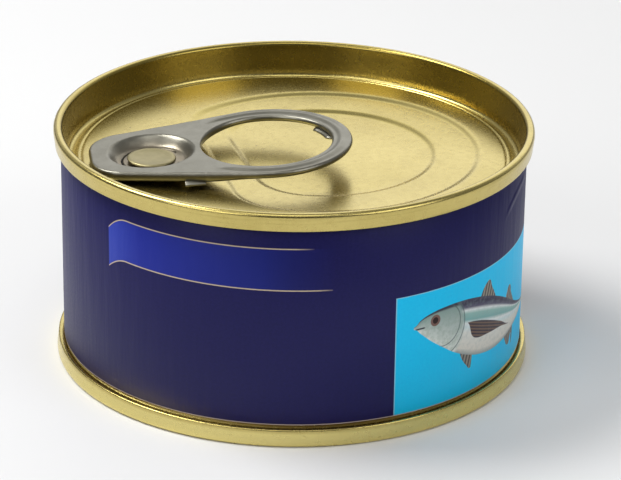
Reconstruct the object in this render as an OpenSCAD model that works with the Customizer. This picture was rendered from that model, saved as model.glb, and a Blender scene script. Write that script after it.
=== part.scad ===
// Ring-pull food can, shut: a low round can with two rolled end seams, a paper label round
// the wall, an easy-open lid and the pull tab riveted to it.
// The origin is the middle of the resting face, +Z is up, and the front of the label faces -Y.

/* [Can] */
// outside diameter of the bare wall between the seams
wall_d = 66.2; // [60:0.1:100]
// full height, from the resting face to the top of the upper seam
can_h = 34.7; // [24:0.1:120]
// how far a rolled seam stands out from the wall
seam_proud = 1.2; // [0.8:0.05:1.6]
// thickness of a seam, from its inside to its outside
seam_t = 1.3; // [1.1:0.05:1.6]
// height of each seam, measured on its outside
seam_h = 2.6; // [2.2:0.1:3.4]

/* [Label] */
// thickness of the paper
label_t = 0.2; // [0.1:0.05:0.5]
// bare wall left between the lower seam and the paper
label_low_gap = 0.4; // [0.1:0.05:1.5]
// bare wall left between the paper and the upper seam
label_top_gap = 0.25; // [0.1:0.05:1.5]

/* [Lid] */
// depth of the flat panel under the top of the seam
panel_depth = 4.6; // [3.8:0.1:6]
// how far the wall inside the seam leans in on its way down to the channel
wall_lean = 0.5; // [0.2:0.05:0.8]
// width of the round channel between that wall and the panel
channel_w = 1.4; // [1:0.1:2]
// depth of the channel's floor under the panel
channel_drop = 0.7; // [0.4:0.1:0.9]
// distance of the score line, which the lid tears along, from the panel's edge
score_in = 0.7; // [0.5:0.1:1.2]
// turn of the lid's pattern about the can's axis, degrees
lid_turn = 15.5; // [-180:0.5:180]
// distance of the stepped fields' centre from the can's axis, away from the rivet
field_off = 3.9; // [2:0.1:5]
// least width of the flat land between the outer field and the panel's edge
field_land = 3.9; // [3:0.1:6]
// distance from the outer field's edge to the inner field's
field_gap = 6.3; // [4:0.1:8]
// distance from the outer field's flat side to the inner field's
flat_gap = 4.4; // [3.5:0.1:6]
// drop of each step
step_drop = 0.28; // [0.15:0.01:0.35]
// width of the slope of each step
step_w = 1.4; // [0.8:0.1:2]

/* [Rivet] */
// diameter of the rivet's head
rivet_d = 6.9; // [5.5:0.1:8.4]
// thickness of the rivet's head
rivet_head_t = 0.5; // [0.3:0.05:0.9]
// diameter of the rivet's neck
rivet_neck_d = 3.6; // [2.5:0.1:4.5]
// distance from the rivet to the outer field's flat side
rivet_land = 8.4; // [7:0.1:10]

/* [Pull tab] */
// outside diameter of the finger ring
ring_d = 24.4; // [20:0.1:30]
// width of the ring's band
ring_band = 2.9; // [2.3:0.1:3.6]
// width of the curled rim along the sides and the nose
rim_band = 2.4; // [2:0.1:2.8]
// height of the curled rim
rim_h = 1.9; // [1.5:0.1:2]
// thickness of the flat web and of the dish
web_t = 0.5; // [0.4:0.05:0.7]
// width of the web between the dish and the finger hole
bridge_w = 1.1; // [0.6:0.1:4]
// distance between the tab's nose and the score line
nose_gap = 0.8; // [0.4:0.1:2]
// turn of the tab away from the line through the can's axis, degrees
tab_turn = -7.8; // [-12:0.2:12]
// rise of the ring's end, degrees
tab_tilt = 1.8; // [0:0.1:2.4]
// height of the rim's underside over the panel, at the rivet
tab_lift = 0.5; // [0.5:0.05:0.8]

/* [Hidden] */
$fn = 128;

gold = [0.82, 0.74, 0.5];
navy = [0.18, 0.18, 0.33];
steel = [0.62, 0.61, 0.57];

// space left between two pieces that are only laid together
fit_gap = 0.02;
// amount by which a cut runs past the face it opens
past = 1;

wall_r = wall_d / 2;
seam_r = wall_r + seam_proud;
seam_in_r = seam_r - seam_t;
// flat ring at the crown of each seam: the can rests on the lower one
crown_flat = 0.3;
roll_r = (seam_t - crown_flat) / 2;
// the outside of a seam leans in by this much from its roll to its far edge
seam_lean = 0.2;
edge_r = 0.3;

label_low = seam_h + label_low_gap;

panel_z = can_h - panel_depth;
channel_z = panel_z - channel_drop;
wall_foot_r = seam_in_r - wall_lean;
channel_r = channel_w / 2;
channel_mid = wall_foot_r - channel_r;
panel_r = wall_foot_r - channel_w;
score_r = panel_r - score_in;
score_depth = 0.12;
lid_floor_t = 0.5;
lid_z = channel_z - lid_floor_t;

base_depth = 3.4;
base_floor_t = 1.6;
base_z = base_depth + base_floor_t;
// section of the stiffening ring pressed into the base, as [radius, drop]
base_land = 9;
base_ring_r = seam_in_r - base_land;
base_ring_w = 3;
base_ring_drop = 0.6;
base_ring = [
    [base_ring_r, 0],
    [base_ring_r - base_ring_drop, base_ring_drop],
    [base_ring_r - base_ring_w + base_ring_drop, base_ring_drop],
    [base_ring_r - base_ring_w, 0]
];

// the tab's dish goes round the rivet's head, the nose and the sides go round the dish
floor_gap = 1.35;
dish_floor_r = rivet_d / 2 + floor_gap;
dish_slope = 1.3;
dish_r = dish_floor_r + dish_slope;
nose_web = 0.2;
nose_len = dish_r + rim_band + nose_web;
nose_r = 5.4;
// the sides' curl takes this much of the dish's slope where they are narrowest
side_lap = 1;
nose_y = dish_r + rim_band - side_lap - nose_r;
ring_r = ring_d / 2;
ring_off = dish_r + bridge_w + ring_r - ring_band;
// outline of the tab: circles joined by their outer tangents, as [x, y, radius],
// taken anticlockwise round the tab, with x = 0 at the rivet
outline = [
    [ring_off, 0, ring_r],
    [-nose_len + nose_r, nose_y, nose_r],
    [-nose_len + nose_r, -nose_y, nose_r]
];
// where one stretch of the curled rim runs into the next it is this much slimmer all round,
// and goes this far into it
trim = 0.03;
run_in = 0.3;
// distance of the middle of the curled rim from the outline
rim_in = rim_band / 2 + trim;
web_top = rim_h - 0.15;
// the dish's floor hangs under the rim so that it meets the panel
dish_floor_z = -0.3;
neck_gap = 0.15;
slot_gap = 0.6;
slot_r = rivet_d / 2 + slot_gap;
slot_w = 0.3;
slot_turn = 300;
tail_w = 3;
tail_x = 7.7;
tail_drop = 0.55;

head_bevel = 0.2;
rivet_off = score_r - nose_gap - nose_len;
field_1_r = panel_r - field_land - field_off;
field_2_r = field_1_r - field_gap;
field_1_flat = rivet_off + field_off - rivet_land;
field_2_flat = field_1_flat - flat_gap;
field_corner_r = 9;
field_corner_steps = 4;

// height over the panel of the highest point of the dish's floor under the rivet's head
head_seat = tab_lift + dish_floor_z + web_t + sin(tab_tilt) * rivet_d / 2 + fit_gap;

function turn_xy(a) = [cos(a), sin(a)];
function next(i) = (i + 1) % len(outline);
function centre(i) = [outline[i][0], outline[i][1]];
// direction of the outward normal of the tangent from circle i to the next one
function normal(i) =
    let (d = centre(next(i)) - centre(i))
    atan2(d[1], d[0]) - acos((outline[i][2] - outline[next(i)][2]) / norm(d));
function upto(a, b) = b >= a ? b : upto(a, b + 360);
// start and end of tangent i, drawn a distance in from the outline
function run_start(i, in) = centre(i) + turn_xy(normal(i)) * (outline[i][2] - in);
function run_end(i, in) = centre(next(i)) + turn_xy(normal(i)) * (outline[next(i)][2] - in);

// points along an arc round c, from angle a to angle b
function arc(c, r, a, b, steps = 8) = [
    for (i = [0 : steps]) c + r * turn_xy(a + (b - a) * i / steps)
];
// outside of a seam, from the crown of its roll down to the far edge, in a half section
// whose height 0 is the crown
seam_outside = concat(
    arc([seam_r - roll_r, -roll_r], roll_r, 90, 0),
    arc([seam_r - seam_lean - edge_r, -seam_h + edge_r], edge_r, 0, -90, 4)
);
// inside of a seam, from the wall up to the crown
seam_inside = arc([seam_in_r + roll_r, -roll_r], roll_r, 180, 90);

// everything on the near side of a sloping plane that crosses height 0 at the distance d
module half_well(d, drop) {
    translate([0, seam_r, 0])
        rotate([90, 0, 0])
            linear_extrude(2 * seam_r)
                polygon([[-seam_r, -drop], [d - step_w, -drop], [d + step_w, drop], [-seam_r, drop]]);
}

// a field: a round well with one side cut straight, its two corners rounded by tangent planes
module field(r, reach, drop) {
    corner = [field_corner_r - reach, sqrt(pow(r - field_corner_r, 2) - pow(field_corner_r - reach, 2))];
    first = atan2(corner[1], corner[0]);
    bend = (180 - first) / field_corner_steps;
    intersection() {
        translate([0, 0, -drop]) cylinder(h = 2 * drop, r1 = r - step_w, r2 = r + step_w);
        rotate([0, 0, 180]) half_well(reach, drop);
        intersection_for(i = [0 : field_corner_steps - 1], side = [-1, 1]) {
            a = first + (i + 0.5) * bend;
            rotate([0, 0, side * a]) half_well(corner * turn_xy(a) + field_corner_r, drop);
        }
    }
}

module lid_section() {
    polygon(concat(
        [[0, lid_z], [0, panel_z]],
        [for (i = [0 : 2]) [score_r - score_depth + i * score_depth, panel_z - (i % 2) * score_depth]],
        arc([panel_r - edge_r, panel_z - edge_r], edge_r, 90, 0, 4),
        arc([channel_mid, channel_z + channel_r], channel_r, 180, 360),
        [for (p = seam_inside) [p[0], p[1] + can_h]],
        [for (p = seam_outside) [p[0], p[1] + can_h]],
        [[wall_r, can_h - seam_h], [wall_r, lid_z]]
    ));
}

module rivet() {
    head_r = rivet_d / 2;
    head_top = head_seat + rivet_head_t;
    rotate_extrude()
        polygon([
            [0, -score_depth],
            [rivet_neck_d / 2, -score_depth],
            [rivet_neck_d / 2, head_seat],
            [head_r, head_seat],
            [head_r, head_top - head_bevel],
            [head_r - head_bevel, head_top],
            [0, head_top]
        ]);
}

module lid() {
    color(gold) {
        difference() {
            rotate_extrude() lid_section();
            rotate([0, 0, lid_turn])
                translate([field_off, 0, panel_z]) {
                    field(field_1_r, field_1_flat, step_drop);
                    translate([0, 0, -step_drop]) field(field_2_r, field_2_flat, step_drop);
                }
        }
        rotate([0, 0, lid_turn]) translate([-rivet_off, 0, panel_z]) rivet();
    }
}

module base_section() {
    polygon(concat(
        [[0, base_depth], [0, base_z], [wall_r, base_z], [wall_r, seam_h]],
        [for (i = [len(seam_outside) - 1 : -1 : 0]) [seam_outside[i][0], -seam_outside[i][1]]],
        [for (i = [len(seam_inside) - 1 : -1 : 0]) [seam_inside[i][0], -seam_inside[i][1]]],
        [[seam_in_r, base_depth]],
        [for (p = base_ring) [p[0], base_depth - p[1]]]
    ));
}

module bottom_end() {
    color(gold) rotate_extrude() base_section();
}

module can_body() {
    color(gold)
        translate([0, 0, base_z])
            cylinder(h = lid_z - base_z, r = wall_r);
}

module label() {
    label_h = can_h - seam_h - label_top_gap - label_low;
    color(navy)
        translate([0, 0, label_low])
            difference() {
                cylinder(h = label_h, r = wall_r + fit_gap + label_t);
                translate([0, 0, -past]) cylinder(h = label_h + 2 * past, r = wall_r + fit_gap);
            }
}

// half-round edged section of a curled band of width w and height h, its middle at height rim_h / 2
module band_section(w, h) {
    flat = (w - h) / 2;
    polygon(concat(
        arc([flat, rim_h / 2], h / 2, -90, 90),
        arc([-flat, rim_h / 2], h / 2, 90, 270)
    ));
}

module ring() {
    translate([ring_off, 0, 0])
        rotate_extrude()
            translate([ring_r - ring_band / 2, 0]) band_section(ring_band, rim_h);
}

module rim_arc(i) {
    start = normal(i - 1);
    stop = upto(start, normal(i));
    translate(centre(i))
        rotate([0, 0, start])
            rotate_extrude(angle = stop - start)
                translate([outline[i][2] - rim_in, 0]) band_section(rim_band, rim_h - 2 * trim);
}

module rim_run(i) {
    from = run_start(i, rim_in);
    along = run_end(i, rim_in) - from;
    translate(from)
        rotate([0, 0, atan2(along[1], along[0])])
            rotate([90, 0, 90])
                translate([0, 0, -run_in])
                    linear_extrude(norm(along) + 2 * run_in)
                        band_section(rim_band - 2 * trim, rim_h - 4 * trim);
}

module web() {
    translate([0, 0, web_top - web_t])
        linear_extrude(web_t)
            difference() {
                polygon([
                    for (i = [0 : len(outline) - 1])
                        for (p = [run_start(i, rim_in), run_end(i, rim_in)]) p
                ]);
                translate([ring_off, 0]) circle(ring_r - ring_band / 2);
                circle(dish_r - web_t / 2);
            }
}

// the dish: a sloping wall from the web down to a floor that carries the rivet's tongue
module dish() {
    floor_top = dish_floor_z + web_t;
    difference() {
        union() {
            rotate_extrude()
                polygon([
                    [dish_floor_r - web_t, dish_floor_z],
                    [dish_floor_r, dish_floor_z],
                    [dish_r, web_top - web_t],
                    [dish_r, web_top],
                    [dish_r - web_t, web_top],
                    [dish_floor_r - web_t, floor_top]
                ]);
            translate([0, 0, dish_floor_z]) cylinder(h = web_t, r = dish_floor_r - web_t / 2);
        }
        translate([0, 0, dish_floor_z - past])
            cylinder(h = web_t + 2 * past, d = rivet_neck_d + 2 * neck_gap);
        rotate([0, 0, 180 - slot_turn / 2])
            translate([0, 0, dish_floor_z - past])
                rotate_extrude(angle = slot_turn)
                    translate([slot_r, 0]) square([slot_w, web_t + 2 * past]);
    }
}

// end of the curl, left hanging under the near side of the rim
module curl_tail() {
    a = run_start(2, rim_in);
    b = run_end(2, rim_in);
    tail_y = a[1] + (b[1] - a[1]) * (tail_x - a[0]) / (b[0] - a[0]);
    translate([tail_x - tail_w / 2, tail_y - web_t, -tail_drop / 2])
        cube([tail_w, 2 * web_t, tail_drop / 2 + rim_h / 2]);
}

module pull_tab() {
    color(steel)
        rotate([0, 0, lid_turn])
            translate([-rivet_off, 0, panel_z + tab_lift])
                rotate([0, -tab_tilt, tab_turn]) {
                    ring();
                    for (i = [1 : len(outline) - 1]) rim_arc(i);
                    for (i = [0 : len(outline) - 1]) rim_run(i);
                    web();
                    dish();
                    curl_tail();
                }
}

can_body();
label();
lid();
bottom_end();
pull_tab();
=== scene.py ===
# %% [markdown]
# A low tuna can with a ring pull.
#
# The real can is a thin sheet-metal cup with a lid folded onto it in a rolled seam, a
# printed paper label glued round the wall, and a pressed steel tab held to the lid by a
# rivet that is pressed out of the lid's own metal. The CAD model gives every piece its
# place and its size. Here each visible piece is made again with softer bends and finer
# pressing, and gets a finish of its own.

# %% Load the frame
import math

import bmesh
import bpy
from mathutils import Matrix, Vector


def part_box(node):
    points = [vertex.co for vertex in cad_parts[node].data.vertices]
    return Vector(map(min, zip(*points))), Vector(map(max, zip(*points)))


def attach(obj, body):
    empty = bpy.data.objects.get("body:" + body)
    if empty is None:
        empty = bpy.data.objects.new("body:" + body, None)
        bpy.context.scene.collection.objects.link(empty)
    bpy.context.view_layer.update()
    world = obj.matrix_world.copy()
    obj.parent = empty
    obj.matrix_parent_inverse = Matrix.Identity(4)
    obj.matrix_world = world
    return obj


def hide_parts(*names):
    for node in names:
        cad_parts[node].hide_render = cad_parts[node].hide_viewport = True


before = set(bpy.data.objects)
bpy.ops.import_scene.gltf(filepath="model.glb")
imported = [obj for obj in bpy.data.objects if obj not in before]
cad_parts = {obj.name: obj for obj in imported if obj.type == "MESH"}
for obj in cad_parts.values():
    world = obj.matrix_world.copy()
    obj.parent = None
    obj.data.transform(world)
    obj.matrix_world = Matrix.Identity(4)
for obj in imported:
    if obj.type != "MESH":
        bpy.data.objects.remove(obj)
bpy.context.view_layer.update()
MM = 0.001
print("pieces in the frame:", sorted(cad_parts))

# %% [markdown]
# The outer sizes that the new pieces share come from the boxes of the CAD pieces. The last
# three below, and the finer sizes further on, repeat the CAD's values or refine them. The
# can stands on the origin with its axis on +Z. Heights and widths are in millimetres,
# because a can maker thinks in them, and are scaled to metres only when a mesh is finished.

# %% Read the can's main sizes
SEAM_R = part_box("lid")[1].x / MM
CAN_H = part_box("lid")[1].z / MM
WALL_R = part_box("can_body")[1].x / MM
LID_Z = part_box("lid")[0].z / MM
BASE_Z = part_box("bottom_end")[1].z / MM
LABEL_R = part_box("label")[1].x / MM
LABEL_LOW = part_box("label")[0].z / MM
LABEL_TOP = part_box("label")[1].z / MM
SEAM_T = 1.3
SEAM_H = 2.6
PANEL_Z = CAN_H - 4.6
print(f"can {2 * SEAM_R:.1f} mm over the seams, {CAN_H:.1f} mm high, label {2 * LABEL_R:.1f} mm")

# %% [markdown]
# A camera in Blender looks along its own -Z with +Y up. This one is turned by writing its
# three axes straight into its matrix: it stands about 0.46 m away, 23 degrees above the
# can's middle, with a long lens, so the can shows little perspective.

# %% Place the camera
CAMERA_AT = Vector((0.0, -0.4188, 0.1980))
PITCH, YAW, ROLL = 0.4094, 0.006085, 0.01398
LENS_MM = 182.55
SENSOR_MM = 36.0


def camera_axes():
    forward = Vector((
        math.sin(YAW) * math.cos(PITCH),
        math.cos(YAW) * math.cos(PITCH),
        -math.sin(PITCH),
    ))
    level = Vector((math.cos(YAW), -math.sin(YAW), 0.0))
    up = level.cross(forward)
    right = math.cos(ROLL) * level + math.sin(ROLL) * up
    return right, forward.cross(right) * -1, forward


def make_camera():
    right, up, forward = camera_axes()
    data = bpy.data.cameras.new("studio_camera")
    data.lens = LENS_MM
    data.sensor_width = SENSOR_MM
    data.clip_start = 0.02
    camera = bpy.data.objects.new("studio_camera", data)
    turn = Matrix((right, up, -forward)).transposed().to_4x4()
    camera.matrix_world = Matrix.Translation(CAMERA_AT) @ turn
    bpy.context.scene.collection.objects.link(camera)
    bpy.context.scene.camera = camera


make_camera()
print("camera up axis", [round(v, 4) for v in camera_axes()[1]])

# %% [markdown]
# Most of the can is round, so most pieces begin as a half section: a chain of points, each
# a radius and a height, that is spun once round the axis. The spin operator with use_merge
# on closes the last copy onto the first. Points that lie on the axis are then merged into
# one pole, and the normals are made to face outwards.

# %% Helpers that every piece uses
def section_chain(bm, points):
    """Joins [radius, height] points into a chain of edges in the XZ plane."""
    verts = [bm.verts.new((r, 0.0, z)) for r, z in points]
    return verts + [bm.edges.new(pair) for pair in zip(verts, verts[1:])]


def spin_section(bm, points, steps=256):
    chain = section_chain(bm, points)
    bmesh.ops.spin(
        bm, geom=chain, cent=(0, 0, 0), axis=(0, 0, 1),
        angle=math.tau, steps=steps, use_merge=True,
    )
    bmesh.ops.remove_doubles(bm, verts=bm.verts, dist=1e-5)


def arc(cx, cy, radius, first, last, steps=6):
    """Points along an arc, the angles in degrees."""
    turns = [first + (last - first) * i / steps for i in range(steps + 1)]
    return [
        (cx + radius * math.cos(math.radians(a)), cy + radius * math.sin(math.radians(a)))
        for a in turns
    ]


def join(target, part):
    """Adds one bmesh to another and frees it."""
    mesh = bpy.data.meshes.new("part_in_hand")
    part.to_mesh(mesh)
    part.free()
    target.from_mesh(mesh)
    bpy.data.meshes.remove(mesh)


def finish_piece(name, bm, material, slot, *nodes, place=None):
    """Scales a mesh from millimetres, makes it an object and lets it stand for CAD nodes."""
    bmesh.ops.recalc_face_normals(bm, faces=bm.faces)
    if place is not None:
        bmesh.ops.transform(bm, matrix=place, verts=bm.verts)
    bmesh.ops.scale(bm, vec=(MM, MM, MM), verts=bm.verts)
    for face in bm.faces:
        face.smooth = True
    mesh = bpy.data.meshes.new(name)
    open_edges = sum(1 for e in bm.edges if not e.is_manifold)
    bm.to_mesh(mesh)
    bm.free()
    mesh.materials.append(material)
    piece = bpy.data.objects.new(name, mesh)
    bpy.context.scene.collection.objects.link(piece)
    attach(piece, "root")
    if nodes:
        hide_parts(*nodes)
    triangles = sum(len(p.vertices) - 2 for p in mesh.polygons)
    print(f"{name}: {triangles} triangles, {open_edges} open edges")
    return piece


# %% [markdown]
# The finishes come next. A node tree is only a formula for each point of the surface, so
# short helpers that add one node at a time make it readable. Each takes plain numbers or
# the output of an earlier node.

# %% Helpers for node trees
def new_material(name):
    material = bpy.data.materials.new(name)
    material.use_nodes = True
    tree = material.node_tree
    shader = tree.nodes["Principled BSDF"]
    return material, tree, shader


def put(tree, kind, *values, **settings):
    """Adds a node, sets its options, and feeds its inputs in order. None skips an input."""
    made = tree.nodes.new(kind)
    for key, value in settings.items():
        setattr(made, key, value)
    for socket, value in zip(made.inputs, values):
        if value is None:
            continue
        if isinstance(value, bpy.types.NodeSocket):
            tree.links.new(value, socket)
        else:
            socket.default_value = value
    return made


def calc(tree, operation, *values):
    return put(tree, "ShaderNodeMath", *values, operation=operation).outputs[0]


def step_up(tree, value, edge, soft):
    """0 below the edge, 1 above it, with a soft change between."""
    low = calc(tree, "SUBTRACT", edge, soft)
    high = calc(tree, "ADD", edge, soft)
    return put(
        tree, "ShaderNodeMapRange", value, low, high, 0.0, 1.0,
        interpolation_type="SMOOTHSTEP",
    ).outputs[0]


def below(tree, value, line, soft=0.06):
    """1 below the line, 0 above it, with a soft change between."""
    return calc(tree, "SUBTRACT", 1.0, step_up(tree, value, line, soft))


def both(tree, *masks):
    """Where every mask holds."""
    product = masks[0]
    for mask in masks[1:]:
        product = calc(tree, "MULTIPLY", product, mask)
    return product


def between(tree, value, low, high, soft):
    return both(tree, step_up(tree, value, low, soft), below(tree, value, high, soft))


def blend(tree, factor, first, second):
    """A mix of two colours."""
    mix = tree.nodes.new("ShaderNodeMix")
    mix.data_type = "RGBA"
    for socket, value in ((mix.inputs[0], factor), (mix.inputs[6], first), (mix.inputs[7], second)):
        if isinstance(value, bpy.types.NodeSocket):
            tree.links.new(value, socket)
        else:
            socket.default_value = value
    return mix.outputs[2]


def ramp(tree, factor, *stops):
    """A colour ramp from (place, colour) stops."""
    made = put(tree, "ShaderNodeValToRGB", factor)
    elements = made.color_ramp.elements
    while len(elements) > 1:
        elements.remove(elements[-1])
    for i, (place, colour) in enumerate(stops):
        element = elements[0] if i == 0 else elements.new(place)
        element.position = place
        element.color = colour
    return made.outputs[0]


def ink(red, green, blue):
    """A printed or painted colour, given as 0 to 255 display values, as a shader colour."""
    def linear(v):
        v /= 255
        return v / 12.92 if v <= 0.04045 else ((v + 0.055) / 1.055) ** 2.4
    return (linear(red), linear(green), linear(blue), 1.0)


def object_mm(tree, stretch=(1.0, 1.0, 1.0)):
    """Object coordinates in millimetres, each axis scaled."""
    place = put(tree, "ShaderNodeTexCoord").outputs["Object"]
    scale = Vector(stretch) / MM
    return put(tree, "ShaderNodeMapping", place, None, None, scale).outputs[0]


def noise(tree, place, scale, detail=3.0, roughness=0.5):
    made = put(tree, "ShaderNodeTexNoise")
    tree.links.new(place, made.inputs["Vector"])
    made.inputs["Scale"].default_value = scale
    made.inputs["Detail"].default_value = detail
    made.inputs["Roughness"].default_value = roughness
    return made.outputs["Fac"]


def remap(tree, value, low, high, to_low, to_high):
    return put(tree, "ShaderNodeMapRange", value, low, high, to_low, to_high).outputs[0]


def add_bump(tree, shader, height, strength, distance):
    """Lets a height pattern tilt the surface's shading; distance is in metres."""
    bump = put(tree, "ShaderNodeBump")
    bump.inputs["Strength"].default_value = strength
    bump.inputs["Distance"].default_value = distance
    tree.links.new(height, bump.inputs["Height"])
    tree.links.new(bump.outputs[0], shader.inputs["Normal"])


print("white ink as a shader colour:", ink(255, 255, 255))

# %% [markdown]
# Can ends are tinplate under a thin gold lacquer. The metal below is rolled, so under the
# lacquer run very fine lines in one direction, and the lacquer itself pools a little and
# picks up pin-prick specks. One metallic shader does it: the colour wanders between two
# golds, the rolling lines are noise stretched along X, and the specks come from a Voronoi
# pattern that is kept only near a few of its cell points. The inside wall of the upper seam
# is painted darker, as painted shade, and the lower seam paler, as a painted reflection of
# the floor. A weak coat is the lacquer.

# %% Gold lacquered tinplate
def chuck_wall_shade_mask(tree):
    """The inside wall of the upper seam, where the gold is darkened as painted shade."""
    place = put(tree, "ShaderNodeSeparateXYZ", object_mm(tree)).outputs
    squares = [calc(tree, "MULTIPLY", axis, axis) for axis in place[:2]]
    radius = calc(tree, "SQRT", calc(tree, "ADD", *squares))
    ring = between(tree, radius, SEAM_R - 2.2, SEAM_R - 0.95, 0.15)
    wall = between(tree, place[2], PANEL_Z + 0.1, CAN_H + 0.2, 0.3)
    return both(tree, ring, wall, step_up(tree, place[2], PANEL_Z + 0.4, 0.4))


DULL_GOLD = (0.44, 0.35, 0.11, 1.0)
LINE_GOLD = (0.30, 0.23, 0.07, 1.0)
# Painted shade for the inside wall of the upper seam.
WALL_SHADE_GOLD = (0.36, 0.275, 0.065, 1.0)
# Painted reflection of the bright floor on the lower seam.
FLOOR_SHEEN_GOLD = (0.80, 0.69, 0.27, 1.0)
SPECK = (0.12, 0.09, 0.05, 1.0)


def make_gold():
    material, tree, shader = new_material("gold_lacquered_tinplate")
    place = object_mm(tree)
    clouds = noise(tree, place, 0.09, 3.0, 0.6)
    grain = noise(tree, object_mm(tree, (0.05, 1.0, 1.0)), 3.2, 2.0, 0.6)
    mottle = noise(tree, place, 1.1, 4.0, 0.65)
    rolled = noise(tree, object_mm(tree, (0.02, 0.02, 1.0)), 3.4, 2.0, 0.7)
    golds = ramp(
        tree, clouds,
        (0.30, (0.530, 0.430, 0.138, 1.0)),
        (0.70, (0.610, 0.500, 0.176, 1.0)),
    )
    dulled = blend(tree, remap(tree, mottle, 0.45, 0.8, 0.0, 0.35), golds, DULL_GOLD)
    lines = remap(tree, rolled, 0.52, 0.72, 0.0, 0.30)
    dulled = blend(tree, lines, dulled, LINE_GOLD)
    # Painted shade: the inside wall of the upper seam is painted a darker gold.
    dulled = blend(tree, chuck_wall_shade_mask(tree), dulled, WALL_SHADE_GOLD)
    up = put(tree, "ShaderNodeSeparateXYZ", place).outputs[2]
    # Painted reflection: the lower seam is painted paler for the bright floor it mirrors.
    lower_seam_sheen = below(tree, up, 2.1, 0.25)
    dulled = blend(tree, calc(tree, "MULTIPLY", lower_seam_sheen, 0.65), dulled, FLOOR_SHEEN_GOLD)
    cells = put(tree, "ShaderNodeTexVoronoi")
    tree.links.new(place, cells.inputs["Vector"])
    cells.inputs["Scale"].default_value = 0.42
    near = calc(tree, "LESS_THAN", cells.outputs["Distance"], 0.06)
    few = calc(tree, "GREATER_THAN", noise(tree, place, 0.23, 1.0), 0.58)
    specks = both(tree, near, few)
    colour = blend(tree, calc(tree, "MULTIPLY", specks, 0.75), dulled, SPECK)
    tree.links.new(colour, shader.inputs["Base Color"])
    rough = remap(tree, mottle, 0.2, 0.8, 0.22, 0.30)
    tree.links.new(rough, shader.inputs["Roughness"])
    shader.inputs["Metallic"].default_value = 1.0
    shader.inputs["Coat Weight"].default_value = 0.06
    shader.inputs["Coat Roughness"].default_value = 0.15
    height = calc(tree, "ADD", calc(tree, "MULTIPLY", grain, 0.35), calc(tree, "MULTIPLY", mottle, 0.5))
    height = calc(tree, "ADD", height, calc(tree, "MULTIPLY", rolled, 0.2))
    add_bump(tree, shader, height, 0.09, 0.00004)
    return material


def make_rivet_gold():
    """Where the rivet was pressed flat the lacquer is rubbed thin and grey."""
    material, tree, shader = new_material("rubbed_rivet_metal")
    rubs = noise(tree, object_mm(tree), 0.9, 4.0, 0.65)
    colour = ramp(
        tree, rubs,
        (0.30, (0.320, 0.278, 0.140, 1.0)),
        (0.70, (0.420, 0.370, 0.205, 1.0)),
    )
    tree.links.new(colour, shader.inputs["Base Color"])
    tree.links.new(remap(tree, rubs, 0.2, 0.8, 0.36, 0.5), shader.inputs["Roughness"])
    shader.inputs["Metallic"].default_value = 1.0
    add_bump(tree, shader, rubs, 0.3, 0.00003)
    return material


gold = make_gold()
rivet_gold = make_rivet_gold()
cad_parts["can_body"].data.materials.clear()
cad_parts["can_body"].data.materials.append(gold)
print("finish made:", gold.name)

# %% [markdown]
# The seam is where the lid and the wall are folded together and rolled flat. Seen in half
# section its outside bulges softly, leans in towards its lower edge and turns under there,
# and its inside runs on down as the lid's own wall to the round channel that stiffens the
# lid. One chain of points draws the lot, then a spin makes the ring.

# %% Sections of the seam
CROWN_R = 0.55
HEM_R = 0.22
SEAM_IN = SEAM_R - SEAM_T


def seam_outside():
    """From the crown down to where the skirt meets the wall, heights measured from the crown."""
    crown = arc(SEAM_R - CROWN_R, -CROWN_R, CROWN_R, 90, 0, 7)
    face = [
        (SEAM_R - 0.01, -0.85),
        (SEAM_R - 0.06, -1.25),
        (SEAM_R - 0.15, -1.95),
        (SEAM_R - 0.18, -2.28),
    ]
    edge = arc(SEAM_R - 0.18 - HEM_R, -SEAM_H + HEM_R, HEM_R, -20, -90, 4)
    tuck = [
        (WALL_R + 0.35, -SEAM_H + 0.02),
        (WALL_R + 0.12, -SEAM_H + 0.1),
        (WALL_R, -SEAM_H + 0.14),
    ]
    return crown + face + edge + tuck


def seam_inside():
    """From the lid's wall up to the crown."""
    return arc(SEAM_IN + CROWN_R, -CROWN_R, CROWN_R, 180, 90, 7)[:-1]


print(f"seam section: {len(seam_outside()) + len(seam_inside())} points")

# %% [markdown]
# The lid's panel carries two shallow fields, one inside the other, each a circle with its
# side next to the rivet cut straight. They stop the panel flexing and turn the tear away
# from the finger. Their centre lies a little off the can's axis. Each field steps down over
# a soft slope. The panel is grown inwards from the spun ring: its inner loop of edges is
# extruded again and again, and each new loop is moved onto the next outline.

# %% Outline of a field
LID_TURN = math.radians(15.5)
FIELD_OFF = 3.9
STEP_DROP = 0.34
STEP_W = 1.4
STEP_LOOPS = 9
CORNER_R = 9.0
LAND = 0.5
FIELDS = ((23.3, 16.4, 0.0), (17.0, 12.0, -STEP_DROP))


def field_reach(angle, radius, flat, corner):
    """Distance from the field's centre to its outline in one direction."""
    x, y = math.cos(angle), abs(math.sin(angle))
    cx = corner - flat
    cy = math.sqrt((radius - corner) ** 2 - cx * cx)
    if y * cx - x * cy < 0:
        return radius
    along = cx * x + cy * y
    on_corner = along + math.sqrt(max(along * along - cx * cx - cy * cy + corner * corner, 0))
    if x < 0 and on_corner * y < cy:
        return -flat / x
    return on_corner


def field_loops():
    """Every loop of the panel from the outer land to near the middle: (outline, height)."""
    loops = []
    for radius, flat, top in FIELDS:
        for i in range(STEP_LOOPS):
            t = i / (STEP_LOOPS - 1)
            inward = STEP_W * t
            drop = STEP_DROP * (3 * t * t - 2 * t * t * t)
            loops.append(((radius - inward, flat - inward, CORNER_R - inward), top - drop))
    return loops


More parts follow.
